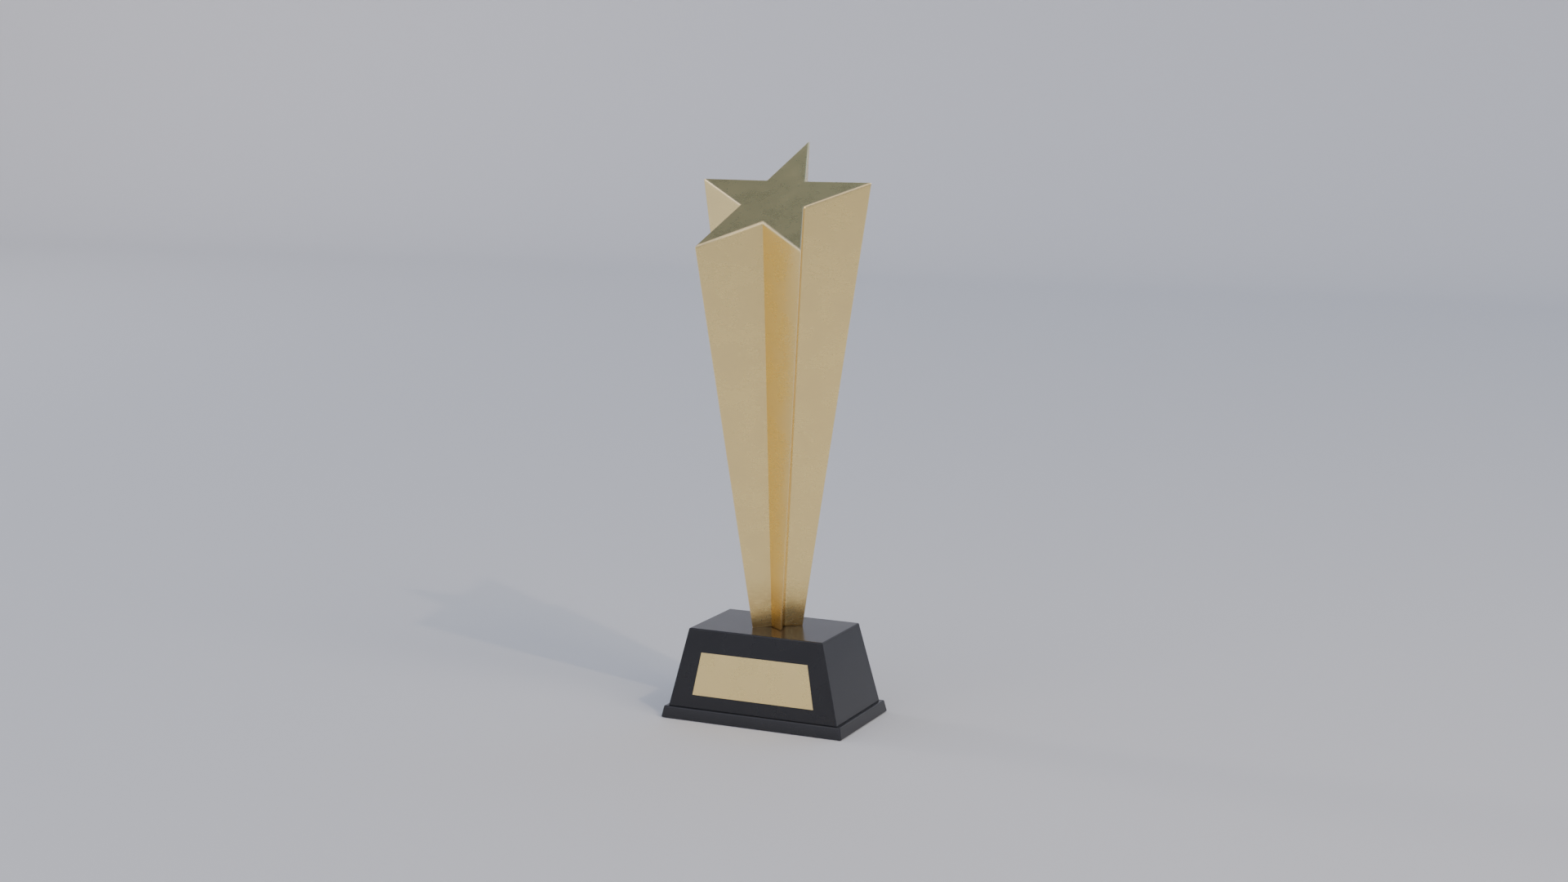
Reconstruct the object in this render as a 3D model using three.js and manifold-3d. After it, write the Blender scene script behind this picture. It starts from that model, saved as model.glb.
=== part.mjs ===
// Star tower trophy: a gold-plated hollow casting bolted down on a weighted black base.
// Millimetres, +Z up. The origin is on the floor under the middle of the base.
// +X runs along the long side of the base, and the nameplate faces -Y.

import * as THREE from 'three';
import { mergeVertices } from 'three/addons/utils/BufferGeometryUtils.js';
import Module from 'manifold-3d';

const wasm = await Module();
wasm.setup();

// ---- Driving dimensions ----------------------------------------------------

const SEAT = 0.05; // gap between two flat faces that rest on each other
const FIT = 0.3; // gap round a pin, stud or screw in its hole
const OVERCUT = 1; // how far a cutting tool runs past the face it cuts

// Felt pad, let into the underside of the plinth
const FELT_LENGTH = 94;
const FELT_DEPTH = 50;
const FELT_CORNER = 4;
const FELT_THICKNESS = 1.2;
const FELT_PROUD = 0.3;

// Plinth: a low plate whose sides flare outward to the floor
const PLINTH_FOOT_LENGTH = 105;
const PLINTH_FOOT_DEPTH = 62.1;
const PLINTH_TOP_LENGTH = 102.5;
const PLINTH_TOP_DEPTH = 59.6;
const PLINTH_TOP_Z = 6.6;

// Base block: a hollow moulding with four sloping sides
const BLOCK_FOOT_LENGTH = 98;
const BLOCK_FOOT_DEPTH = 56.9;
const BLOCK_TOP_LENGTH = 77.4;
const BLOCK_TOP_DEPTH = 48.2;
const BLOCK_TOP_Z = 49.1;
const BLOCK_WALL = 3.5;
const BLOCK_TOP_WALL = 6;

// Star column: a five-pointed star at each end, the upper one larger and tilted to the front
const STAR_RADIUS = 51.3;
const FOOT_STAR_RADIUS = 14.7;
const VALLEY_RATIO = 0.374; // radius of the inner corners over the radius of the tips
const STAR_CENTRE_Z = 275.6;
const STAR_TILT = THREE.MathUtils.degToRad(34.4);
const COLUMN_Y = 1.9; // the column stands a little behind the middle of the base
const COLUMN_WALL = 2.5;
const STAR_PLATE_THICKNESS = 3; // metal under the sloping star face
const SOLID_FOOT_HEIGHT = 20; // metal below the hollow

// Fastening of the column
const ROD_RADIUS = 2.4;
const ROD_LENGTH = 31;
const ROD_BELOW_NUT = 2;
const INSERT_RADIUS = 3.7;
const INSERT_LENGTH = 16;
const DOWEL_RADIUS = 1;
const DOWEL_LENGTH = 9;
const DOWEL_FROM_AXIS = 7.2;
const SPREADER_LENGTH = 46;
const SPREADER_DEPTH = 30;
const SPREADER_THICKNESS = 2;
const WASHER_RADIUS = 6;
const WASHER_THICKNESS = 1;
const SPRING_WASHER_RADIUS = 4.4;
const SPRING_WASHER_THICKNESS = 1.2;
const SPRING_WASHER_SPLIT = THREE.MathUtils.degToRad(16);
const NUT_ACROSS_FLATS = 8;
const NUT_HEIGHT = 4;

// Ballast and the screws that go up through the plinth
const BALLAST_LENGTH = 56;
const BALLAST_DEPTH = 40;
const BALLAST_HEIGHT = 18;
const BALLAST_CORNER = 3;
const BALLAST_SCREW_X = 19;
const BOSS_X = 34;
const BOSS_Y = 16;
const BOSS_RADIUS = 4;
const SCREW_RADIUS = 1.5;
const SCREW_HEAD_RADIUS = 3.2;
const SCREW_HEAD_HEIGHT = 1.9;
const SCREW_LENGTH = 14;
const SCREW_POINT = 2;
const SCREW_SLOT_WIDTH = 0.9;
const SCREW_SLOT_LENGTH = 3.6;
const SCREW_SLOT_DEPTH = 1.1;

// Nameplate on the front of the block
const PLATE_FOOT_WIDTH = 70.4;
const PLATE_TOP_WIDTH = 61.8;
const PLATE_LOW_Z = 13.7;
const PLATE_HIGH_Z = 36.7;
const PLATE_THICKNESS = 0.5;
const PLATE_PROUD = 0.1; // how far the plate stands out of its recess
const PLATE_GAP = 0.1; // all round the plate in its recess
const ADHESIVE_THICKNESS = 0.15;
const ADHESIVE_INSET = 1.2;

// Smoothness of round shapes
const ROUND = 32;
const CORNER_STEPS = 4;

// ---- Materials ---------------------------------------------------------------

const finish = (color, roughness, metalness) =>
  new THREE.MeshStandardMaterial({ color, roughness, metalness });

const goldPlate = finish('#d9bd86', 0.35, 1);
const blackLacquer = finish('#26272a', 0.4, 0);
const zincSteel = finish('#a9adb0', 0.4, 1);
const brass = finish('#b8934c', 0.35, 1);
const castIron = finish('#3c3d40', 0.7, 1);
const feltBlack = finish('#1a1a1c', 0.95, 0);
const adhesiveFoam = finish('#d8d4c8', 0.9, 0);

// ---- Solids --------------------------------------------------------------------

// A manifold solid from a closed three.js geometry.
function solid(geometry) {
  const bare = geometry.clone();
  bare.deleteAttribute('normal');
  bare.deleteAttribute('uv');
  const merged = mergeVertices(bare, 1e-5);
  return new wasm.Manifold(new wasm.Mesh({
    numProp: 3,
    vertProperties: new Float32Array(merged.attributes.position.array),
    triVerts: new Uint32Array(merged.index.array),
  }));
}

// The three.js geometry of a manifold solid.
function geometryOf(manifold) {
  const mesh = manifold.getMesh();
  const geometry = new THREE.BufferGeometry();
  geometry.setAttribute('position', new THREE.BufferAttribute(mesh.vertProperties, 3));
  geometry.setIndex(new THREE.BufferAttribute(mesh.triVerts, 1));
  geometry.computeVertexNormals();
  return geometry;
}

// Cuts every tool geometry out of a body geometry.
function cut(body, tools) {
  let result = solid(body);
  for (const tool of tools) result = result.subtract(solid(tool));
  return geometryOf(result);
}

// Joins every piece onto a body geometry.
function join(body, pieces) {
  let result = solid(body);
  for (const piece of pieces) result = result.add(solid(piece));
  return geometryOf(result);
}

// A closed solid between two outlines with the same number of corners. Both run
// anticlockwise seen from above, and straight edges join each corner to its partner.
function loft(lower, upper) {
  const count = lower.length;
  const flat = lower.map((p) => new THREE.Vector2(p.x, p.y));
  const caps = THREE.ShapeUtils.triangulateShape(flat, []);
  const index = [];
  for (const [a, b, c] of caps) {
    index.push(a, c, b);
    index.push(a + count, b + count, c + count);
  }
  for (let i = 0; i < count; i += 1) {
    const next = (i + 1) % count;
    index.push(i, next, next + count);
    index.push(i, next + count, i + count);
  }
  const geometry = new THREE.BufferGeometry().setFromPoints([...lower, ...upper]);
  geometry.setIndex(index);
  return geometry;
}

// The four corners of a level rectangle round the Z axis.
function rectangle(length, depth, z) {
  const x = length / 2;
  const y = depth / 2;
  return [[-x, -y], [x, -y], [x, y], [-x, y]].map(([px, py]) => new THREE.Vector3(px, py, z));
}

// A level slab with rounded corners, its lower face at z.
function roundedSlab(length, depth, corner, thickness, z) {
  const x = length / 2 - corner;
  const y = depth / 2 - corner;
  const shape = new THREE.Shape();
  shape.absarc(x, y, corner, 0, Math.PI / 2);
  shape.absarc(-x, y, corner, Math.PI / 2, Math.PI);
  shape.absarc(-x, -y, corner, Math.PI, 1.5 * Math.PI);
  shape.absarc(x, -y, corner, 1.5 * Math.PI, 2 * Math.PI);
  const settings = { depth: thickness, bevelEnabled: false, curveSegments: CORNER_STEPS };
  return new THREE.ExtrudeGeometry(shape, settings).translate(0, 0, z);
}

// An upright cylinder, its lower face at z.
function rod(radius, height, x, y, z) {
  const geometry = new THREE.CylinderGeometry(radius, radius, height, ROUND);
  return geometry.rotateX(Math.PI / 2).translate(x, y, z + height / 2);
}

// ---- Star column -----------------------------------------------------------------

// The ten corners of a flat star, tips and valleys by turns, the first tip to the back (+Y).
function star(radius) {
  const points = [];
  for (let i = 0; i < 10; i += 1) {
    const reach = i % 2 === 0 ? radius : radius * VALLEY_RATIO;
    const angle = Math.PI / 2 + (i * Math.PI) / 5;
    points.push(new THREE.Vector3(reach * Math.cos(angle), reach * Math.sin(angle), 0));
  }
  return points;
}

// The radius of a star whose edges lie the given distance inside those of a larger star.
function insetRadius(radius, inset) {
  const valley = new THREE.Vector2(Math.sin(Math.PI / 5), Math.cos(Math.PI / 5));
  valley.multiplyScalar(VALLEY_RATIO);
  const edge = valley.clone().sub(new THREE.Vector2(0, 1));
  const edgeDistance = valley.x / edge.length();
  return radius - inset / edgeDistance;
}

const levelStar = (radius, z) =>
  star(radius).map((p) => p.add(new THREE.Vector3(0, COLUMN_Y, z)));

// A star in the plane of the sloping face, or the given depth below that plane.
function slopingStar(radius, depth) {
  const slope = new THREE.Vector3(1, 0, 0);
  const centre = new THREE.Vector3(0, COLUMN_Y, STAR_CENTRE_Z);
  const below = new THREE.Vector3(0, 0, -depth).applyAxisAngle(slope, STAR_TILT);
  return star(radius).map((p) => p.applyAxisAngle(slope, STAR_TILT).add(centre).add(below));
}

const columnZ = BLOCK_TOP_Z + SEAT;
const dowelXs = [-1, 1].map((side) => side * DOWEL_FROM_AXIS * Math.cos(Math.PI / 10));
const dowelY = COLUMN_Y + DOWEL_FROM_AXIS * Math.sin(Math.PI / 10);
const dowelZ = columnZ - DOWEL_LENGTH / 2;

function starColumn() {
  const skin = loft(levelStar(FOOT_STAR_RADIUS, columnZ), slopingStar(STAR_RADIUS, 0));
  const hollowZ = columnZ + SOLID_FOOT_HEIGHT;
  const rise = SOLID_FOOT_HEIGHT / (STAR_CENTRE_Z - columnZ);
  const skinRadius = THREE.MathUtils.lerp(FOOT_STAR_RADIUS, STAR_RADIUS, rise);
  const hollow = loft(
    levelStar(insetRadius(skinRadius, COLUMN_WALL), hollowZ),
    slopingStar(insetRadius(STAR_RADIUS, COLUMN_WALL), STAR_PLATE_THICKNESS),
  );
  const socketHeight = SOLID_FOOT_HEIGHT + 2 * OVERCUT;
  const socket = rod(INSERT_RADIUS + FIT, socketHeight, 0, COLUMN_Y, columnZ - OVERCUT);
  const dowelHoles = dowelXs.map((x) =>
    rod(DOWEL_RADIUS + FIT / 2, DOWEL_LENGTH + FIT, x, dowelY, dowelZ));
  return cut(skin, [hollow, socket, ...dowelHoles]);
}

function footInsert() {
  const bush = rod(INSERT_RADIUS, INSERT_LENGTH, 0, COLUMN_Y, columnZ + FIT);
  const boreHeight = INSERT_LENGTH + 2 * OVERCUT;
  return cut(bush, [rod(ROD_RADIUS + FIT, boreHeight, 0, COLUMN_Y, columnZ + FIT - OVERCUT)]);
}

// ---- Fastening stack under the top of the block -------------------------------------

const ceilingZ = BLOCK_TOP_Z - BLOCK_TOP_WALL;
const spreaderZ = ceilingZ - SEAT - SPREADER_THICKNESS;
const washerZ = spreaderZ - SEAT - WASHER_THICKNESS;
const springWasherZ = washerZ - SEAT - SPRING_WASHER_THICKNESS;
const nutZ = springWasherZ - SEAT - NUT_HEIGHT;
const rodZ = nutZ - ROD_BELOW_NUT;

// A ring or plate outline pierced by the rod's hole, thickened upward from z.
function pierced(outline, thickness, z) {
  const hole = new THREE.Path().absarc(0, 0, ROD_RADIUS + FIT, 0, 2 * Math.PI, true);
  outline.holes.push(hole);
  const settings = { depth: thickness, bevelEnabled: false, curveSegments: ROUND };
  return new THREE.ExtrudeGeometry(outline, settings).translate(0, COLUMN_Y, z);
}

function spreaderPlate() {
  const x = SPREADER_LENGTH / 2;
  const y = SPREADER_DEPTH / 2;
  const outline = new THREE.Shape([
    new THREE.Vector2(-x, -y),
    new THREE.Vector2(x, -y),
    new THREE.Vector2(x, y),
    new THREE.Vector2(-x, y),
  ]);
  return pierced(outline, SPREADER_THICKNESS, spreaderZ);
}

function flatWasher() {
  const outline = new THREE.Shape().absarc(0, 0, WASHER_RADIUS, 0, 2 * Math.PI);
  return pierced(outline, WASHER_THICKNESS, washerZ);
}

function springWasher() {
  const back = Math.PI / 2;
  const start = back + SPRING_WASHER_SPLIT / 2;
  const end = back - SPRING_WASHER_SPLIT / 2 + 2 * Math.PI;
  const outline = new THREE.Shape();
  outline.absarc(0, 0, SPRING_WASHER_RADIUS, start, end);
  outline.absarc(0, 0, ROD_RADIUS + FIT, end, start, true);
  const settings = { depth: SPRING_WASHER_THICKNESS, bevelEnabled: false, curveSegments: ROUND };
  return new THREE.ExtrudeGeometry(outline, settings).translate(0, COLUMN_Y, springWasherZ);
}

function hexNut() {
  const corner = NUT_ACROSS_FLATS / 2 / Math.cos(Math.PI / 6);
  const points = [];
  for (let i = 0; i < 6; i += 1) {
    const angle = (i * Math.PI) / 3;
    points.push(new THREE.Vector2(corner * Math.cos(angle), corner * Math.sin(angle)));
  }
  return pierced(new THREE.Shape(points), NUT_HEIGHT, nutZ);
}

// ---- Base ---------------------------------------------------------------------------

const blockZ = PLINTH_TOP_Z + SEAT;
const bossSpots = [-1, 1].flatMap((sx) => [-1, 1].map((sy) => [sx * BOSS_X, sy * BOSS_Y]));
const ballastSpots = [-1, 1].map((sx) => [sx * BALLAST_SCREW_X, 0]);
const pocketZ = FELT_THICKNESS + SEAT;

// ---- Nameplate -------------------------------------------------------------------------

const frontLean = Math.atan(
  (BLOCK_FOOT_DEPTH - BLOCK_TOP_DEPTH) / 2 / (BLOCK_TOP_Z - blockZ),
);

// The recess is as deep as the tape and the plate, less what the plate stands out by.
const plateBack = PLATE_PROUD - PLATE_THICKNESS;
const adhesiveBack = plateBack - SEAT - ADHESIVE_THICKNESS;
const recessBack = adhesiveBack - SEAT;

// The block's front face leans back. This frame lies in its plane, X along the foot of the
// plate and Z up the slope, so that -Y points straight out of the face.
const front = new THREE.Group();
const runIn = (PLATE_LOW_Z - blockZ) * Math.tan(frontLean);
front.position.set(0, -(BLOCK_FOOT_DEPTH / 2 - runIn), PLATE_LOW_Z);
front.rotation.x = -frontLean;
front.updateMatrix();

// A sheet in that frame with the plate's outline, inset all round. Its back lies the given
// distance out of the block's face, or inside the block where that is negative.
function plateSheet(inset, thickness, back) {
  const height = (PLATE_HIGH_Z - PLATE_LOW_Z) / Math.cos(frontLean);
  const foot = PLATE_FOOT_WIDTH / 2 - inset;
  const top = PLATE_TOP_WIDTH / 2 - inset;
  const outline = new THREE.Shape([
    new THREE.Vector2(-foot, inset),
    new THREE.Vector2(foot, inset),
    new THREE.Vector2(top, height - inset),
    new THREE.Vector2(-top, height - inset),
  ]);
  const sheet = new THREE.ExtrudeGeometry(outline, { depth: thickness, bevelEnabled: false });
  return sheet.rotateX(Math.PI / 2).translate(0, -back, 0);
}

function baseBlock() {
  const skin = loft(
    rectangle(BLOCK_FOOT_LENGTH, BLOCK_FOOT_DEPTH, blockZ),
    rectangle(BLOCK_TOP_LENGTH, BLOCK_TOP_DEPTH, BLOCK_TOP_Z),
  );
  const walls = 2 * BLOCK_WALL;
  const hollow = loft(
    rectangle(BLOCK_FOOT_LENGTH - walls, BLOCK_FOOT_DEPTH - walls, blockZ - OVERCUT),
    rectangle(BLOCK_TOP_LENGTH - walls, BLOCK_TOP_DEPTH - walls, ceilingZ),
  );
  const shell = cut(skin, [hollow]);
  const bosses = bossSpots.map(([x, y]) =>
    rod(BOSS_RADIUS, ceilingZ + OVERCUT - blockZ, x, y, blockZ));
  const screwHoles = bossSpots.map(([x, y]) =>
    rod(SCREW_RADIUS + FIT, SCREW_LENGTH, x, y, blockZ - OVERCUT));
  const topHoleHeight = BLOCK_TOP_WALL + 2 * OVERCUT;
  const rodHole = rod(ROD_RADIUS + FIT, topHoleHeight, 0, COLUMN_Y, ceilingZ - OVERCUT);
  const dowelHoles = dowelXs.map((x) =>
    rod(DOWEL_RADIUS + FIT / 2, DOWEL_LENGTH, x, dowelY, dowelZ - FIT));
  const recess = plateSheet(-PLATE_GAP, OVERCUT - recessBack, recessBack).applyMatrix4(front.matrix);
  return cut(join(shell, bosses), [rodHole, recess, ...screwHoles, ...dowelHoles]);
}

// A countersunk wood screw pointing up, its head's flat face at z = 0.
function countersunkScrew() {
  const profile = [
    new THREE.Vector2(0, 0),
    new THREE.Vector2(SCREW_HEAD_RADIUS, 0),
    new THREE.Vector2(SCREW_RADIUS, SCREW_HEAD_HEIGHT),
    new THREE.Vector2(SCREW_RADIUS, SCREW_LENGTH - SCREW_POINT),
    new THREE.Vector2(0, SCREW_LENGTH),
  ];
  const blank = new THREE.LatheGeometry(profile, ROUND / 2).rotateX(Math.PI / 2);
  const slotHeight = 2 * SCREW_SLOT_DEPTH;
  const slots = [[SCREW_SLOT_LENGTH, SCREW_SLOT_WIDTH], [SCREW_SLOT_WIDTH, SCREW_SLOT_LENGTH]];
  return cut(blank, slots.map(([x, y]) => new THREE.BoxGeometry(x, y, slotHeight)));
}

// The clearance hole and countersink for one screw, its head's flat face at z = 0.
function screwHole() {
  const reach = SCREW_RADIUS + FIT;
  const mouth = SCREW_HEAD_RADIUS + FIT;
  const profile = [
    new THREE.Vector2(0, -OVERCUT),
    new THREE.Vector2(mouth, -OVERCUT),
    new THREE.Vector2(mouth, 0),
    new THREE.Vector2(reach, SCREW_HEAD_HEIGHT),
    new THREE.Vector2(reach, PLINTH_TOP_Z),
    new THREE.Vector2(0, PLINTH_TOP_Z),
  ];
  return new THREE.LatheGeometry(profile, ROUND / 2).rotateX(Math.PI / 2);
}

const screwZ = pocketZ + FIT;

function basePlinth() {
  const skin = loft(
    rectangle(PLINTH_FOOT_LENGTH, PLINTH_FOOT_DEPTH, FELT_PROUD),
    rectangle(PLINTH_TOP_LENGTH, PLINTH_TOP_DEPTH, PLINTH_TOP_Z),
  );
  const pocket = roundedSlab(
    FELT_LENGTH + 2 * FIT,
    FELT_DEPTH + 2 * FIT,
    FELT_CORNER + FIT,
    pocketZ,
    0,
  );
  const holes = [...bossSpots, ...ballastSpots].map(([x, y]) =>
    screwHole().translate(x, y, screwZ));
  return cut(skin, [pocket, ...holes]);
}

function ballastBlock() {
  const z = PLINTH_TOP_Z + SEAT;
  const slab = roundedSlab(BALLAST_LENGTH, BALLAST_DEPTH, BALLAST_CORNER, BALLAST_HEIGHT, z);
  const holes = ballastSpots.map(([x, y]) =>
    rod(SCREW_RADIUS + FIT, SCREW_LENGTH, x, y, z - OVERCUT));
  return cut(slab, holes);
}

// ---- Assembly ----------------------------------------------------------------------------

const trophy = new THREE.Group();

function add(name, geometry, material, parent = trophy) {
  const mesh = new THREE.Mesh(geometry, material);
  mesh.name = name;
  parent.add(mesh);
  return mesh;
}

add('star_column', starColumn(), goldPlate);
add('foot_insert', footInsert(), brass);
add('tie_rod', rod(ROD_RADIUS, ROD_LENGTH, 0, COLUMN_Y, rodZ), zincSteel);
add('dowel_pin_left', rod(DOWEL_RADIUS, DOWEL_LENGTH - FIT, dowelXs[0], dowelY, dowelZ), zincSteel);
add('dowel_pin_right', rod(DOWEL_RADIUS, DOWEL_LENGTH - FIT, dowelXs[1], dowelY, dowelZ), zincSteel);
add('spreader_plate', spreaderPlate(), zincSteel);
add('tie_rod_washer', flatWasher(), zincSteel);
add('tie_rod_spring_washer', springWasher(), zincSteel);
add('tie_rod_nut', hexNut(), zincSteel);
add('base_block', baseBlock(), blackLacquer);
add('base_plinth', basePlinth(), blackLacquer);
add('ballast_block', ballastBlock(), castIron);
add('felt_pad', roundedSlab(FELT_LENGTH, FELT_DEPTH, FELT_CORNER, FELT_THICKNESS, 0), feltBlack);

const plinthScrewNames = ['front_left', 'back_left', 'front_right', 'back_right'];
bossSpots.forEach(([x, y], i) => {
  add(`plinth_screw_${plinthScrewNames[i]}`, countersunkScrew(), zincSteel).position.set(x, y, screwZ);
});

const ballastScrewNames = ['left', 'right'];
ballastSpots.forEach(([x, y], i) => {
  add(`ballast_screw_${ballastScrewNames[i]}`, countersunkScrew(), zincSteel).position.set(x, y, screwZ);
});

trophy.add(front);
add('nameplate_adhesive', plateSheet(ADHESIVE_INSET, ADHESIVE_THICKNESS, adhesiveBack), adhesiveFoam, front);
add('nameplate', plateSheet(0, PLATE_THICKNESS, plateBack), goldPlate, front);

export default trophy;
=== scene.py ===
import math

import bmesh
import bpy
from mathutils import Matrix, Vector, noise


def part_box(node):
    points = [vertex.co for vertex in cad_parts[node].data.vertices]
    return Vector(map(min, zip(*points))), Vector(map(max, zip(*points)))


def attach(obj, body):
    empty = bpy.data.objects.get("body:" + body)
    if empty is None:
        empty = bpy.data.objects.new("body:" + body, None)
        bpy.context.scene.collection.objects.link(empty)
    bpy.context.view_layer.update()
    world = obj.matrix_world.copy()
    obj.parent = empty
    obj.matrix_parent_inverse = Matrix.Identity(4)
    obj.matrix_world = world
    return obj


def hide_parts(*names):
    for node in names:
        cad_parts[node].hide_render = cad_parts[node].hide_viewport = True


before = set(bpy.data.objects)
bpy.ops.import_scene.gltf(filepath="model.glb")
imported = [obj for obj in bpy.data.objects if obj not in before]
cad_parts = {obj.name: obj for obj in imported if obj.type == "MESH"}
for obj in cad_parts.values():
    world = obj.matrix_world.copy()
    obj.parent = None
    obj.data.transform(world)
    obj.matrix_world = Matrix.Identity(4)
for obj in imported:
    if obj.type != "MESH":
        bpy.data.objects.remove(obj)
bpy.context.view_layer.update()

# A star tower trophy: felt, plinth and block, star column and the stack that fastens it,
# ballast and screws, nameplate, and then the studio that it stands in. Lengths are in metres,
# and sizes written in millimetres are multiplied by MM.

# ---- Felt pad ----------------------------------------------------------------------------
# A die-cut sheet of pressed black wool felt, glued into the underside of the plinth. It
# hides the screws and keeps the lacquer off the shelf. Its faces are slightly uneven.

MM = 0.001


def copy_of(node, name):
    """A new piece with a CAD node's shape, its flat faces whole again."""
    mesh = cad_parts[node].data.copy()
    mesh.materials.clear()
    if mesh.has_custom_normals:
        mesh.attributes.remove(mesh.attributes["custom_normal"])
    work = bmesh.new()
    work.from_mesh(mesh)
    bmesh.ops.remove_doubles(work, verts=work.verts, dist=0.001 * MM)
    bmesh.ops.dissolve_limit(
        work, angle_limit=math.radians(5), verts=work.verts, edges=work.edges
    )
    work.to_mesh(mesh)
    work.free()
    piece = bpy.data.objects.new(name, mesh)
    bpy.context.scene.collection.objects.link(piece)
    return piece


def cut_across(piece, planes):
    """Cuts a piece's faces along the given planes without changing its shape."""
    work = bmesh.new()
    work.from_mesh(piece.data)
    for point, normal in planes:
        geometry = work.verts[:] + work.edges[:] + work.faces[:]
        bmesh.ops.bisect_plane(work, geom=geometry, plane_co=point, plane_no=normal)
    work.to_mesh(piece.data)
    work.free()
    piece.data.update()


def cut_into_cells(piece, cell, axes):
    """Cuts a piece's faces into cells of about the given size along the given axes."""
    spots = [v.co for v in piece.data.vertices]
    low = Vector(min(c[i] for c in spots) for i in range(3))
    high = Vector(max(c[i] for c in spots) for i in range(3))
    planes = []
    for axis in axes:
        normal = Vector(1 if i == axis else 0 for i in range(3))
        span = high[axis] - low[axis]
        cuts = round(span / cell)
        planes += [(low + span * i / cuts * normal, normal) for i in range(1, cuts)]
    cut_across(piece, planes)


def make_real(piece):
    """Turns a piece's modifiers into its mesh."""
    graph = bpy.context.evaluated_depsgraph_get()
    mesh = bpy.data.meshes.new_from_object(piece.evaluated_get(graph))
    piece.modifiers.clear()
    piece.data = mesh


def shade(piece, crease=60):
    """Smooth shading that leaves large faces flat and breaks at edges over crease degrees."""
    piece.data.shade_smooth()
    piece.data.set_sharp_from_angle(angle=math.radians(crease))
    weighted = piece.modifiers.new("weighted", "WEIGHTED_NORMAL")
    weighted.keep_sharp = True
    make_real(piece)


def linear(code):
    """The linear colour of an sRGB hex code."""
    channels = [int(code[i:i + 2], 16) / 255 for i in (1, 3, 5)]
    curve = [c / 12.92 if c <= 0.04045 else ((c + 0.055) / 1.055) ** 2.4 for c in channels]
    return (*curve, 1)


def per(size):
    """The scale of a pattern whose features are size millimetres across."""
    return 1 / (size * MM)


def feed(tree, node, inputs):
    """Sets a node's inputs, by name from a dict or else in their own order. Each is given a
    value, a socket, or another node, whose first output is meant."""
    pairs = inputs.items() if isinstance(inputs, dict) else enumerate(inputs)
    for key, value in pairs:
        if isinstance(value, bpy.types.Node):
            value = next(socket for socket in value.outputs if socket.enabled)
        if isinstance(value, bpy.types.NodeSocket):
            tree.links.new(value, node.inputs[key])
        else:
            node.inputs[key].default_value = value


def add_node(tree, kind, inputs=(), **settings):
    """Adds a shader node with its settings and its inputs."""
    made = tree.nodes.new("ShaderNode" + kind)
    for name, value in settings.items():
        setattr(made, name, value)
    feed(tree, made, inputs)
    return made


def new_material(name):
    """An empty material: its node tree, its main shader and the place on the object."""
    material = bpy.data.materials.new(name)
    material.use_nodes = True
    tree = material.node_tree
    tree.nodes.clear()
    shader = add_node(tree, "BsdfPrincipled")
    add_node(tree, "OutputMaterial", {"Surface": shader})
    place = add_node(tree, "TexCoord").outputs["Object"]
    return material, tree, shader, place


def pressed_felt():
    """Wool felt: matt, with pale stray fibres and soft clouds where the fibre is denser."""
    material, tree, shader, place = new_material("pressed_black_felt")
    cloud = add_node(tree, "TexNoise", {"Vector": place, "Scale": per(6), "Detail": 3})
    fibre = add_node(tree, "TexNoise", {"Vector": place, "Scale": per(0.6), "Detail": 4})
    dense = add_node(tree, "MapRange", (cloud, 0.3, 0.7))
    tone = add_node(
        tree,
        "Mix",
        {"Factor": dense, "A": linear("#131314"), "B": linear("#232325")},
        data_type="RGBA",
    )
    rough = add_node(tree, "MapRange", (fibre, 0.3, 0.7, 0.85, 1.0))
    bump = add_node(tree, "Bump", {"Height": fibre, "Distance": 0.2 * MM, "Strength": 0.8})
    feed(tree, shader, {"Base Color": tone, "Roughness": rough, "Normal": bump})
    feed(tree, shader, {"Sheen Weight": 0.4, "Sheen Roughness": 0.5})
    return material


def felt_sheet():
    """The felt, with both faces cut into small cells and dented by uneven amounts."""
    piece = copy_of("felt_pad", "felt_sheet")
    cut_into_cells(piece, 4 * MM, axes=(0, 1))
    low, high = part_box("felt_pad")
    middle = (low.z + high.z) / 2
    depth, clump = 0.06 * MM, 7 * MM
    for vertex in piece.data.vertices:
        dent = depth * (1 + noise.noise(vertex.co / clump))
        vertex.co.z += dent if vertex.co.z < middle else -dent
    piece.data.materials.append(pressed_felt())
    shade(piece)
    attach(piece, "root")
    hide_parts("felt_pad")


felt_sheet()

# ---- Plinth and block --------------------------------------------------------------------
# Both are moulded, filled, sanded and sprayed with satin black lacquer, which leaves small
# round edges and a faint orange peel. The block's foot stays nearly sharp, so that only a
# fine seam shows where it stands on the plinth.

NEAR = 0.01 * MM  # corners closer together than this are the same corner


def at_corners(edge, corners):
    """Whether both ends of an edge lie at one of the given corners."""
    return all(min((v.co - c).length for c in corners) < NEAR for v in edge.verts)


def round_edges(piece, width, chosen, segments=3, edge_material=0):
    """Rounds the edges of a piece by width times the share that chosen gives each of them,
    and puts the material of number edge_material on the rounding."""
    work = bmesh.new()
    work.from_mesh(piece.data)
    weight = work.edges.layers.float.new("bevel_weight_edge")
    for edge in work.edges:
        edge[weight] = float(chosen(edge))
    work.to_mesh(piece.data)
    work.free()
    bevel = piece.modifiers.new("rounding", "BEVEL")
    bevel.limit_method = "WEIGHT"
    bevel.width = width
    bevel.segments = segments
    bevel.material = edge_material
    bevel.use_clamp_overlap = False
    make_real(piece)


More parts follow.
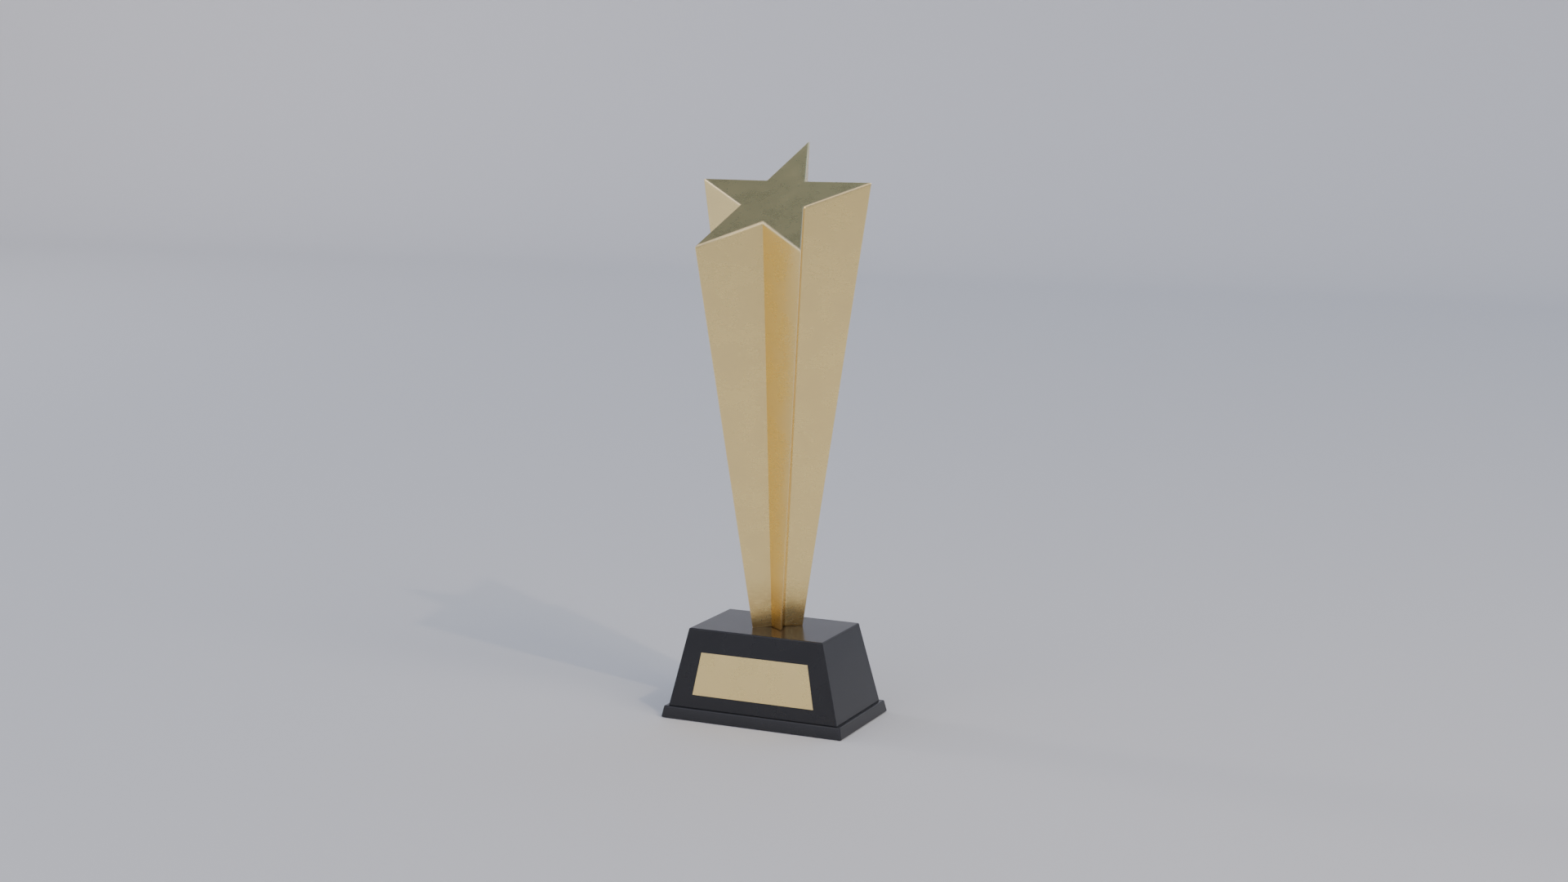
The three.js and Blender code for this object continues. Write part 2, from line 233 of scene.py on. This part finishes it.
def outer_share(node, bottom):
    """The share of the rounding that each edge of a block with sloping sides gets: its outer
    edges all of it, those round its foot only the bottom share, and the others none."""
    spots = [v.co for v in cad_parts[node].data.vertices]
    low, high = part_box(node)
    corners = []
    for level in (low.z, high.z):
        ring = [c for c in spots if abs(c.z - level) < NEAR]
        x = max(abs(c.x) for c in ring)
        y = max(abs(c.y) for c in ring)
        corners += [Vector((sx * x, sy * y, level)) for sx in (-1, 1) for sy in (-1, 1)]

    def share(edge):
        if not at_corners(edge, corners):
            return 0.0
        return bottom if all(v.co.z < low.z + NEAR for v in edge.verts) else 1.0

    return share


def satin_lacquer(name, rubbed):
    """Sprayed nitrocellulose lacquer: black and satin, so that it mirrors softly at a low
    angle, with a faint orange peel and a few dust nibs. Rubbed edges are greyer and sleeker."""
    dark, light = ("#232326", "#2c2c2f") if rubbed else ("#1c1c1f", "#202023")
    sleek, dull = (0.15, 0.19) if rubbed else (0.19, 0.23)
    material, tree, shader, place = new_material(name)
    cloud = add_node(tree, "TexNoise", {"Vector": place, "Scale": per(22), "Detail": 4})
    peel = add_node(tree, "TexNoise", {"Vector": place, "Scale": per(1.8), "Detail": 1})
    specks = add_node(tree, "TexVoronoi", {"Vector": place, "Scale": per(11)})
    nib = add_node(tree, "MapRange", (specks, 0.02, 0.035, 1.0, 0.0))
    haze = add_node(tree, "MapRange", (cloud, 0.3, 0.7))
    tone = add_node(
        tree,
        "Mix",
        {"Factor": haze, "A": linear(dark), "B": linear(light)},
        data_type="RGBA",
    )
    rough = add_node(tree, "MapRange", (cloud, 0.3, 0.7, sleek, dull))
    height = add_node(tree, "Math", (nib, 0.6, peel), operation="MULTIPLY_ADD")
    bump = add_node(tree, "Bump", {"Height": height, "Distance": 0.01 * MM, "Strength": 0.2})
    feed(tree, shader, {"Base Color": tone, "Roughness": rough, "Normal": bump, "IOR": 1.5})
    return material


lacquer = satin_lacquer("black_satin_lacquer", rubbed=False)
lacquer_edge = satin_lacquer("black_satin_lacquer_rubbed_edge", rubbed=True)

for node, name, bottom in (
    ("base_plinth", "plinth_plate", 1.0),
    ("base_block", "block_shell", 0.1),
):
    piece = copy_of(node, name)
    piece.data.materials.append(lacquer)
    piece.data.materials.append(lacquer_edge)
    round_edges(piece, 0.6 * MM, outer_share(node, bottom), edge_material=1)
    shade(piece)
    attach(piece, "root")
    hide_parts(node)

# ---- Star column -------------------------------------------------------------------------
# A hollow zinc casting, ground, polished and plated with pale gold. Polishing rounds the
# ridges and the rim of the star, and the mould leaves a fillet in the side valleys. Handling
# leaves cloudy smudges and fine scuffs.

STAR_TILT = math.radians(34.4)
OUT_OF_FACE = Vector((0, -math.sin(STAR_TILT), math.cos(STAR_TILT)))


def gold_plating(name, rubbed):
    """Pale gold plate over a polished casting: a satin mirror with level polishing waves,
    cloudy wipe marks, and patches of fine curved scuffs, drawn coarse enough to show. Round
    the column's foot, where it meets the block, painted shade darkens it. Rubbed edges are
    paler."""
    clean, wiped = ("#ffe9b4", "#ffe5aa") if rubbed else ("#ffe49c", "#fbe09c")
    sleek, dull = (0.30, 0.36) if rubbed else (0.23, 0.36)
    material, tree, shader, place = new_material(name)

    # Wipe marks and polishing waves, which together run from 0 to 3.
    cloud = add_node(tree, "TexNoise", {"Vector": place, "Scale": per(14), "Detail": 5})
    level = add_node(tree, "Mapping", {"Vector": place, "Scale": (0.3, 0.3, 1.0)})
    waves = add_node(tree, "TexNoise", {"Vector": level, "Scale": per(1.0), "Detail": 3})
    patch = add_node(tree, "MapRange", (cloud, 0.35, 0.65))
    grain = add_node(tree, "MapRange", (waves, 0.35, 0.65))
    mottle = add_node(tree, "Math", (patch, 2.0, grain), operation="MULTIPLY_ADD")

    # A scuff follows the thin line where a swirl is at its middle value. It is broken into
    # crumbs, and shows in some areas only.
    swirl = add_node(tree, "TexNoise", {"Vector": place, "Scale": per(3.2), "Detail": 2})
    crumbs = add_node(tree, "TexNoise", {"Vector": place, "Scale": per(0.8), "Detail": 1})
    areas = add_node(tree, "TexNoise", {"Vector": place, "Scale": per(11), "Detail": 2})
    offset = add_node(tree, "Math", (swirl, 0.5), operation="SUBTRACT")
    nearness = add_node(tree, "Math", (offset,), operation="ABSOLUTE")
    scuff = add_node(tree, "MapRange", (nearness, 0.010, 0.022, 1.0, 0.0))
    for part, low, high in ((crumbs, 0.50, 0.56), (areas, 0.54, 0.60)):
        kept = add_node(tree, "MapRange", (part, low, high))
        scuff = add_node(tree, "Math", (scuff, kept), operation="MULTIPLY")

    # The painted shade at the foot fades out up the column, is uneven, and stops above the
    # nameplate.
    rise = add_node(tree, "SeparateXYZ", {"Vector": place}).outputs["Z"]
    painted_foot_shade = add_node(tree, "MapRange", (rise, 49 * MM, 76 * MM, 0.65, 0.0))
    for part, low, high in ((rise, 40 * MM, 48 * MM), (grain, -1.0, 0.6)):
        kept = add_node(tree, "MapRange", (part, low, high))
        painted_foot_shade = add_node(tree, "Math", (painted_foot_shade, kept), operation="MULTIPLY")

    soiled = add_node(tree, "MapRange", (mottle, 0.0, 3.0))
    tone = add_node(
        tree,
        "Mix",
        {"Factor": soiled, "A": linear(clean), "B": linear(wiped)},
        data_type="RGBA",
    )
    # Mixes in the dark amber of the painted shade round the column's foot.
    tone = add_node(
        tree,
        "Mix",
        {"Factor": painted_foot_shade, "A": tone, "B": linear("#b4874b")},
        data_type="RGBA",
    )
    rough = add_node(tree, "MapRange", (mottle, 0.0, 3.0, sleek, dull))
    rough = add_node(tree, "Math", (scuff, -0.06, rough), operation="MULTIPLY_ADD")
    height = add_node(tree, "Math", (scuff, 0.9, waves), operation="MULTIPLY_ADD")
    bump = add_node(tree, "Bump", {"Height": height, "Distance": 0.02 * MM, "Strength": 0.6})
    feed(tree, shader, {"Base Color": tone, "Roughness": rough, "Normal": bump, "Metallic": 1.0})
    return material


gold = gold_plating("pale_gold_plating", rubbed=False)
gold_edge = gold_plating("pale_gold_plating_rubbed_edge", rubbed=True)


def foot_of(node):
    """Where the upright axis of a round piece meets its foot, and its height in millimetres."""
    low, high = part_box(node)
    return Vector(((low.x + high.x) / 2, (low.y + high.y) / 2, low.z)), (high.z - low.z) / MM


column_axis = foot_of("foot_insert")[0]


def rounding_of(node):
    """The share of the rounding that each edge of the column gets: the ridges and the rim of
    the star face all of it, the four side valleys more, which makes their fillet, the edges
    of the foot very little, and the front valley and everything else none."""
    fillet, foot_share, insert_hole = 1.7, 0.12, 5 * MM
    spots = [v.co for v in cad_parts[node].data.vertices]
    low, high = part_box(node)
    foot = [c for c in spots if abs(c.z - low.z) < NEAR]
    foot = [c for c in foot if math.hypot(c.x, c.y - column_axis.y) > insert_hole]
    top = max(c.dot(OUT_OF_FACE) for c in spots)
    face = [c for c in spots if c.dot(OUT_OF_FACE) > top - NEAR]

    def share(edge):
        if len(edge.link_faces) != 2 or not at_corners(edge, foot + face):
            return 0.0
        if edge.calc_face_angle() < math.radians(20):
            return 0.0
        if not edge.is_convex:
            in_front = abs(edge.verts[0].co.x) < NEAR
            return 0.0 if in_front else fillet
        return foot_share if at_corners(edge, foot) else 1.0

    return share


def unrub_valleys(piece, half_width=9):
    """Puts the plain gold back on the faces within half_width degrees of a valley. The five
    points of the star are 72 degrees apart, one of them at 18, with the valleys halfway."""
    for face in piece.data.polygons:
        away = face.center - column_axis
        turn = math.degrees(math.atan2(away.y, away.x))
        if abs((turn - 18) % 72 - 36) < half_width:
            face.material_index = 0


def inset_top(piece, margin):
    """Adds an edge the given margin inside the rim of the sloping star face."""
    work = bmesh.new()
    work.from_mesh(piece.data)
    star = max(
        (f for f in work.faces if f.normal.dot(OUT_OF_FACE) > 0.999),
        key=lambda f: f.calc_center_median().dot(OUT_OF_FACE),
    )
    bmesh.ops.inset_region(work, faces=[star], thickness=margin, use_even_offset=True)
    work.to_mesh(piece.data)
    work.free()
    piece.data.update()


column = copy_of("star_column", "column_casting")
column.data.materials.append(gold)
column.data.materials.append(gold_edge)
round_edges(column, 0.8 * MM, rounding_of("star_column"), segments=4, edge_material=1)
unrub_valleys(column)

# Cuts that leave the shape alone keep the smooth shading even: one inside the rim of the star
# face, one below it, one just above the foot, and then one every 10 mm up the column.
margin = 0.8 * MM
inset_top(column, margin)
top = max(v.co.dot(OUT_OF_FACE) for v in column.data.vertices)
heights = [50] + list(range(58, 248, 10))
cuts = [(Vector((0, 0, height * MM)), Vector((0, 0, 1))) for height in heights]
cuts.append(((top - 2 * margin) * OUT_OF_FACE, OUT_OF_FACE))
cut_across(column, cuts)
column.data.shade_smooth()
column.data.set_sharp_from_angle(angle=math.radians(60))
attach(column, "root")
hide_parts("star_column")

# ---- Fastening of the column -------------------------------------------------------------
# Zinc-plated steel: a threaded stud runs from a knurled brass insert in the foot, through the
# block, to a spreader plate, washer, spring washer and nut. Two dowel pins stop the column
# turning. The nut is done up from inside the block.


def zinc_plating():
    """Bright zinc on steel: a grey metal with a faint spangle and fine machining lines."""
    material, tree, shader, place = new_material("bright_zinc_plating")
    crystals = add_node(tree, "TexVoronoi", {"Vector": place, "Scale": per(0.9)})
    level = add_node(tree, "Mapping", {"Vector": place, "Scale": (0.1, 0.1, 1.0)})
    lines = add_node(tree, "TexNoise", {"Vector": level, "Scale": per(0.12), "Detail": 2})
    spangle = add_node(tree, "MapRange", (crystals, 0.1, 0.7))
    tone = add_node(
        tree,
        "Mix",
        {"Factor": spangle, "A": linear("#c6c9cc"), "B": linear("#aeb2b6")},
        data_type="RGBA",
    )
    rough = add_node(tree, "MapRange", (lines, 0.3, 0.7, 0.28, 0.42))
    bump = add_node(tree, "Bump", {"Height": lines, "Distance": 0.01 * MM, "Strength": 0.5})
    feed(tree, shader, {"Base Color": tone, "Roughness": rough, "Normal": bump, "Metallic": 1.0})
    return material


def turned_brass():
    """Bare brass, turned and knurled: warm metal with tool lines and dull tarnish clouds."""
    material, tree, shader, place = new_material("turned_brass")
    cloud = add_node(tree, "TexNoise", {"Vector": place, "Scale": per(3), "Detail": 4})
    level = add_node(tree, "Mapping", {"Vector": place, "Scale": (0.1, 0.1, 1.0)})
    lines = add_node(tree, "TexNoise", {"Vector": level, "Scale": per(0.15), "Detail": 2})
    tarnish = add_node(tree, "MapRange", (cloud, 0.35, 0.7))
    tone = add_node(
        tree,
        "Mix",
        {"Factor": tarnish, "A": linear("#e3c173"), "B": linear("#b98f4a")},
        data_type="RGBA",
    )
    rough = add_node(tree, "MapRange", (cloud, 0.35, 0.7, 0.25, 0.45))
    bump = add_node(tree, "Bump", {"Height": lines, "Distance": 0.01 * MM, "Strength": 0.5})
    feed(tree, shader, {"Base Color": tone, "Roughness": rough, "Normal": bump, "Metallic": 1.0})
    return material


zinc = zinc_plating()
brass = turned_brass()


def place_piece(piece, node, material, crease=35):
    """Finishes a piece: its material, its shading, and what it stands for in the CAD."""
    piece.data.materials.clear()
    piece.data.materials.append(material)
    shade(piece, crease)
    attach(piece, "root")
    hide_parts(node)


def turned(name, outline, reach, foot, sides):
    """A turned solid. outline is its stations as (radius, height) in millimetres, reach gives
    the true radius at a station and an angle, and foot is where its axis meets height 0. It
    is closed at both ends where the radius is 0, and otherwise joined from last to first."""
    mesh = bmesh.new()
    rings = []
    for radius, height in outline:
        if radius == 0:
            rings.append([mesh.verts.new((foot.x, foot.y, foot.z + height * MM))])
            continue
        ring = []
        for k in range(sides):
            angle = 2 * math.pi * k / sides
            r = reach(radius, height, angle) * MM
            spot = (foot.x + r * math.cos(angle), foot.y + r * math.sin(angle))
            ring.append(mesh.verts.new((*spot, foot.z + height * MM)))
        rings.append(ring)
    pairs = list(zip(rings, rings[1:]))
    if outline[0][0] > 0:
        pairs.append((rings[-1], rings[0]))
    for a, b in pairs:
        for k in range(sides):
            n = (k + 1) % sides
            corners = [a[k % len(a)], a[n % len(a)], b[n % len(b)], b[k % len(b)]]
            mesh.faces.new(list(dict.fromkeys(corners)))
    bmesh.ops.recalc_face_normals(mesh, faces=mesh.faces)
    data = bpy.data.meshes.new(name)
    mesh.to_mesh(data)
    mesh.free()
    piece = bpy.data.objects.new(name, data)
    bpy.context.scene.collection.objects.link(piece)
    return piece


def smooth(radius, height, angle):
    """A reach that leaves the outline as it is."""
    return radius


def thread(pitch, depth, low, high):
    """A reach that cuts a V thread of the given pitch and depth between two heights."""

    def reach(radius, height, angle):
        if not low < height < high:
            return radius
        phase = (height / pitch - angle / (2 * math.pi)) % 1
        fade = min(1, (height - low) / pitch, (high - height) / pitch)
        return radius - depth * fade * (1 - abs(2 * phase - 1))

    return reach


def knurl(radius, height, angle):
    """A reach that presses slanting ridges into the insert, one way below the groove round
    its middle and the other way above it."""
    least_radius, middle, groove, plain_end = 3.5, 8, 1.2, 0.6
    ridges, depth, lead = 30, 0.16, 0.72
    if radius < least_radius or not groove <= abs(height - middle) <= middle - plain_end:
        return radius
    twist = lead * height * (1 if height > middle else -1)
    return radius - depth * (1 + math.cos(ridges * angle + twist)) / 2


def stations(low, high, step):
    """Heights from low to high, both included, about a step apart."""
    count = round((high - low) / step)
    return [low + (high - low) * i / count for i in range(count + 1)]


def threaded_stud():
    """The stud, with a thread from end to end and both ends chamfered."""
    radius, end_radius, chamfer, pitch, depth = 2.4, 1.9, 0.5, 0.8, 0.42
    foot, length = foot_of("tie_rod")
    outline = [(0, 0), (end_radius, 0)]
    outline += [(radius, z) for z in stations(chamfer, length - chamfer, 0.1)]
    outline += [(end_radius, length), (0, length)]
    groove = thread(pitch, depth, chamfer, length - chamfer)
    stud = turned("threaded_stud", outline, groove, foot, sides=24)
    place_piece(stud, "tie_rod", zinc)


def knurled_insert():
    """The insert: two knurled bands with a groove between them, and a hole right through."""
    radius, end_radius, groove_radius, hole_radius, mouth_radius = 3.7, 3.4, 3.3, 2.72, 2.95
    foot, length = foot_of("foot_insert")
    lower = [(end_radius, 0), (radius, 0.5)]
    lower += [(radius, z) for z in stations(1, 6.6, 0.35)]
    lower += [(groove_radius, 6.9)]
    outline = lower + [(r, length - z) for r, z in reversed(lower)]
    outline += [(mouth_radius, length), (hole_radius, length - 0.25)]
    outline += [(hole_radius, 0.25), (mouth_radius, 0)]
    insert = turned("knurled_insert", outline, knurl, foot, sides=120)
    place_piece(insert, "foot_insert", brass, crease=50)


def dowel_pin(node):
    """A ground pin whose two ends are rounded alike."""
    foot, length = foot_of(node)
    lower = [(0, 0), (0.7, 0), (0.9, 0.1), (1.0, 0.35)]
    outline = lower + [(r, length - z) for r, z in reversed(lower)]
    pin = turned(node + "_ground", outline, smooth, foot, sides=32)
    place_piece(pin, node, zinc)


threaded_stud()
knurled_insert()
for side in ("left", "right"):
    dowel_pin("dowel_pin_" + side)


def sharp_edge(edge):
    """Whether the surface turns by more than 40 degrees at an edge."""
    return len(edge.link_faces) == 2 and edge.calc_face_angle() > math.radians(40)


def slanted_edge(edge):
    """The edges round the two ends of the nut, not the upright ones between its flats."""
    return sharp_edge(edge) and abs(edge.verts[0].co.z - edge.verts[1].co.z) < 0.1 * MM


for node, name, width, chosen in (
    ("spreader_plate", "pressed_spreader", 0.3, sharp_edge),
    ("tie_rod_washer", "stamped_washer", 0.2, sharp_edge),
    ("tie_rod_spring_washer", "coiled_washer", 0.2, sharp_edge),
    ("tie_rod_nut", "chamfered_nut", 0.35, slanted_edge),
):
    piece = copy_of(node, name)
    round_edges(piece, width * MM, chosen, segments=2)
    place_piece(piece, node, zinc)

# ---- Ballast and screws ------------------------------------------------------------------
# A rough sand-cast iron slab, screwed up through the plinth, gives the base its weight. Four
# more screws of the same pattern hold the plinth to the block. The heads lie behind the felt.


def cast_iron():
    """Unmachined grey iron: dark and coarse with the print of the sand, oiled against rust."""
    material, tree, shader, place = new_material("sand_cast_iron")
    cloud = add_node(tree, "TexNoise", {"Vector": place, "Scale": per(9), "Detail": 5})
    sand = add_node(tree, "TexNoise", {"Vector": place, "Scale": per(0.7), "Detail": 4})
    pits = add_node(tree, "TexVoronoi", {"Vector": place, "Scale": per(2.4)})
    oiled = add_node(tree, "MapRange", (cloud, 0.35, 0.7))
    tone = add_node(
        tree,
        "Mix",
        {"Factor": oiled, "A": linear("#4a4a4c"), "B": linear("#5f5650")},
        data_type="RGBA",
    )
    rough = add_node(tree, "MapRange", (sand, 0.3, 0.7, 0.5, 0.8))
    height = add_node(tree, "Math", (pits, 0.5, sand), operation="MULTIPLY_ADD")
    bump = add_node(tree, "Bump", {"Height": height, "Distance": 0.2 * MM, "Strength": 0.8})
    feed(tree, shader, {"Base Color": tone, "Roughness": rough, "Normal": bump, "Metallic": 1.0})
    return material


def worn_in(piece, cell, depth, grain):
    """Cuts a piece into cells and sinks every point by an uneven amount up to depth."""
    cut_into_cells(piece, cell, axes=(0, 1, 2))
    work = bmesh.new()
    work.from_mesh(piece.data)
    work.normal_update()
    for vertex in work.verts:
        sink = depth * (0.5 + 0.5 * noise.noise(vertex.co / grain))
        vertex.co -= max(0, min(sink, depth)) * vertex.normal
    work.to_mesh(piece.data)
    work.free()
    piece.data.update()


ballast = copy_of("ballast_block", "sand_cast_ballast")
round_edges(ballast, 1.0 * MM, sharp_edge)
worn_in(ballast, cell=4 * MM, depth=0.25 * MM, grain=3 * MM)
place_piece(ballast, "ballast_block", cast_iron(), crease=60)


def tapping_screw(node):
    """A countersunk screw with a cross recess: head, cone, threaded shank and point."""
    head_radius, head_height, shank_radius, point_length = 3.2, 1.9, 1.5, 2
    pitch, thread_depth, thread_start = 1.2, 0.35, 2.4
    slot_length, slot_width, slot_depth = 3.6, 0.9, 1.1
    foot, length = foot_of(node)
    shoulder = length - point_length
    outline = [(0, 0), (head_radius - 0.1, 0), (head_radius, 0.12), (shank_radius, head_height)]
    outline += [(shank_radius, z) for z in stations(thread_start, shoulder, 0.14)]
    for t in (0.25, 0.5, 0.75):
        outline.append((shank_radius * (1 - t), shoulder + point_length * t))
    outline.append((0, length))
    groove = thread(pitch, thread_depth, thread_start, length)
    screw = turned(node + "_turned", outline, groove, foot, sides=24)
    for x, y in ((slot_length, slot_width), (slot_width, slot_length)):
        bpy.ops.mesh.primitive_cube_add(size=1, location=foot)
        tool = bpy.context.object
        tool.scale = (x * MM, y * MM, 2 * slot_depth * MM)
        cut = screw.modifiers.new("recess", "BOOLEAN")
        cut.operation = "DIFFERENCE"
        cut.object = tool
        bpy.context.view_layer.update()
        make_real(screw)
        bpy.data.objects.remove(tool)
    place_piece(screw, node, zinc)


for corner in ("front_left", "back_left", "front_right", "back_right"):
    tapping_screw("plinth_screw_" + corner)
for side in ("left", "right"):
    tapping_screw("ballast_screw_" + side)

# ---- Nameplate ---------------------------------------------------------------------------
# A thin brass plate with the same gold plating, guillotined to follow the block's slope and
# stuck into a shallow recess with foam tape. It is blank, and its edges are slightly eased.

plate = copy_of("nameplate", "engraving_plate")
plate.data.materials.append(gold)
plate.data.materials.append(gold_edge)
round_edges(plate, 0.12 * MM, lambda edge: True, segments=2, edge_material=1)
shade(plate)
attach(plate, "root")
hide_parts("nameplate")


def tape_foam():
    """White double-sided foam tape: matt, with small closed cells and faint yellowing."""
    material, tree, shader, place = new_material("white_tape_foam")
    cells = add_node(tree, "TexVoronoi", {"Vector": place, "Scale": per(0.5)})
    cloud = add_node(tree, "TexNoise", {"Vector": place, "Scale": per(8), "Detail": 3})
    yellowed = add_node(tree, "MapRange", (cloud, 0.3, 0.7))
    tone = add_node(
        tree,
        "Mix",
        {"Factor": yellowed, "A": linear("#e2dfd6"), "B": linear("#d6cfba")},
        data_type="RGBA",
    )
    rough = add_node(tree, "MapRange", (cells, 0.1, 0.6, 0.75, 0.95))
    bump = add_node(tree, "Bump", {"Height": cells, "Distance": 0.05 * MM, "Strength": 0.7})
    feed(tree, shader, {"Base Color": tone, "Roughness": rough, "Normal": bump})
    return material


tape = copy_of("nameplate_adhesive", "foam_tape")
worn_in(tape, cell=3 * MM, depth=0.02 * MM, grain=2 * MM)
place_piece(tape, "nameplate_adhesive", tape_foam())

# ---- Studio ------------------------------------------------------------------------------
# A pale painted floor that sweeps up into a wall behind, in a room with pale walls and a dim
# bluish ceiling. Soft boxes light it; a small warm lamp draws the sharp part of the shadow.
# The camera stands to the right of the front.


def swept_floor():
    """The floor, its sweep and the wall, as one smooth sheet."""
    near, back, sweep, top, side, steps, across = -6.0, 2.35, 0.4, 4.0, 9.0, 12, 40
    profile = [(near, 0), (-3.0, 0), (-1.0, 0), (0, 0), (1.0, 0), (back, 0)]
    for i in range(1, steps + 1):
        turn = math.pi / 2 * i / steps
        profile.append((back + sweep * math.sin(turn), sweep * (1 - math.cos(turn))))
    profile.append((back + sweep, top))
    verts = [
        (side * (2 * k / across - 1), y, z) for y, z in profile for k in range(across + 1)
    ]
    faces = []
    for i in range(len(profile) - 1):
        for k in range(across):
            a = i * (across + 1) + k
            faces.append((a, a + 1, a + across + 2, a + across + 1))
    mesh = bpy.data.meshes.new("swept_floor")
    mesh.from_pydata(verts, [], faces)
    mesh.shade_smooth()
    floor = bpy.data.objects.new("swept_floor", mesh)
    bpy.context.scene.collection.objects.link(floor)
    material, tree, shader, place = new_material("pale_floor_paint")
    paint = {"Base Color": linear("#e5e6e9"), "Roughness": 0.9, "Specular IOR Level": 0.2}
    feed(tree, shader, paint)
    mesh.materials.append(material)


def room_light():
    """The light of the room, by how high up it comes from."""
    walls, wall_tops, ceiling = (0.48, 0.48, 0.52), (0.38, 0.42, 0.62), (0.158, 0.20, 0.283)
    room = bpy.data.worlds.new("room")
    room.use_nodes = True
    tree = room.node_tree
    tree.nodes.clear()
    outward = add_node(tree, "TexCoord").outputs["Generated"]
    rise = add_node(tree, "SeparateXYZ", {"Vector": outward}).outputs["Z"]
    shades = add_node(tree, "ValToRGB", {"Fac": rise})
    stops = shades.color_ramp.elements
    stops.new(0.60)
    for i, (height, colour) in enumerate(((0.12, walls), (0.30, wall_tops), (0.60, ceiling))):
        stops[i].position = height
        stops[i].color = (*colour, 1)
    glow = add_node(tree, "Background", {"Color": shades})
    add_node(tree, "OutputWorld", {"Surface": glow})
    bpy.context.scene.world = room


def lamp(name, place, aim, size, watts, colour):
    """A rectangular soft box at a place, turned to face the point that it aims at."""
    light = bpy.data.lights.new(name, "AREA")
    light.shape = "RECTANGLE"
    light.size, light.size_y = size
    light.energy = watts
    light.color = linear(colour)[:3]
    holder = bpy.data.objects.new(name, light)
    holder.location = place
    toward = Vector(aim) - Vector(place)
    holder.rotation_euler = toward.to_track_quat("-Z", "Y").to_euler()
    bpy.context.scene.collection.objects.link(holder)


def stand_camera():
    """A camera a little over a metre away, looking slightly down from the right of the front."""
    looking_down, turned_left = 0.16224, 0.43852
    camera = bpy.data.objects.new("camera", bpy.data.cameras.new("camera"))
    camera.data.sensor_width = 36
    camera.data.lens = 53.34
    camera.data.clip_start = 0.01
    camera.data.clip_end = 50
    camera.location = (0.51666, -1.08982, 0.34601)
    camera.rotation_euler = (math.pi / 2 - looking_down, 0, turned_left)
    bpy.context.scene.collection.objects.link(camera)
    bpy.context.scene.camera = camera


swept_floor()
room_light()
lamp("key", (1.0135, -0.5164, 1.2633), (0, 0, 0.15), (0.03, 0.03), 4.2, "#ffead2")
lamp("right_high", (3.2, -1.0, 3.0), (0, 0.5, 0.15), (2, 2), 58, "#fff2e0")
lamp("low_front", (-0.6, -2.2, 0.9), (0, 0, 0.2), (2.0, 1.4), 8, "#f2f2ff")
lamp("front_high", (0, -1.7, 2.7), (0, 0, 0.25), (3.0, 1.4), 14, "#fff6e6")
lamp("back_high", (0, 1.9, 3.2), (0, 0, 0), (3, 1), 11.5, "#aad2ff")
lamp("wall_left", (-3.2, 0.2, 1.8), (-2.6, 2.5, 0.6), (0.8, 0.8), 27, "#fff4e9")
lamp("left_low", (-2.2, -0.6, 1.1), (0, 0, 0.2), (3.0, 2.4), 12, "#e8eeff")
stand_camera()
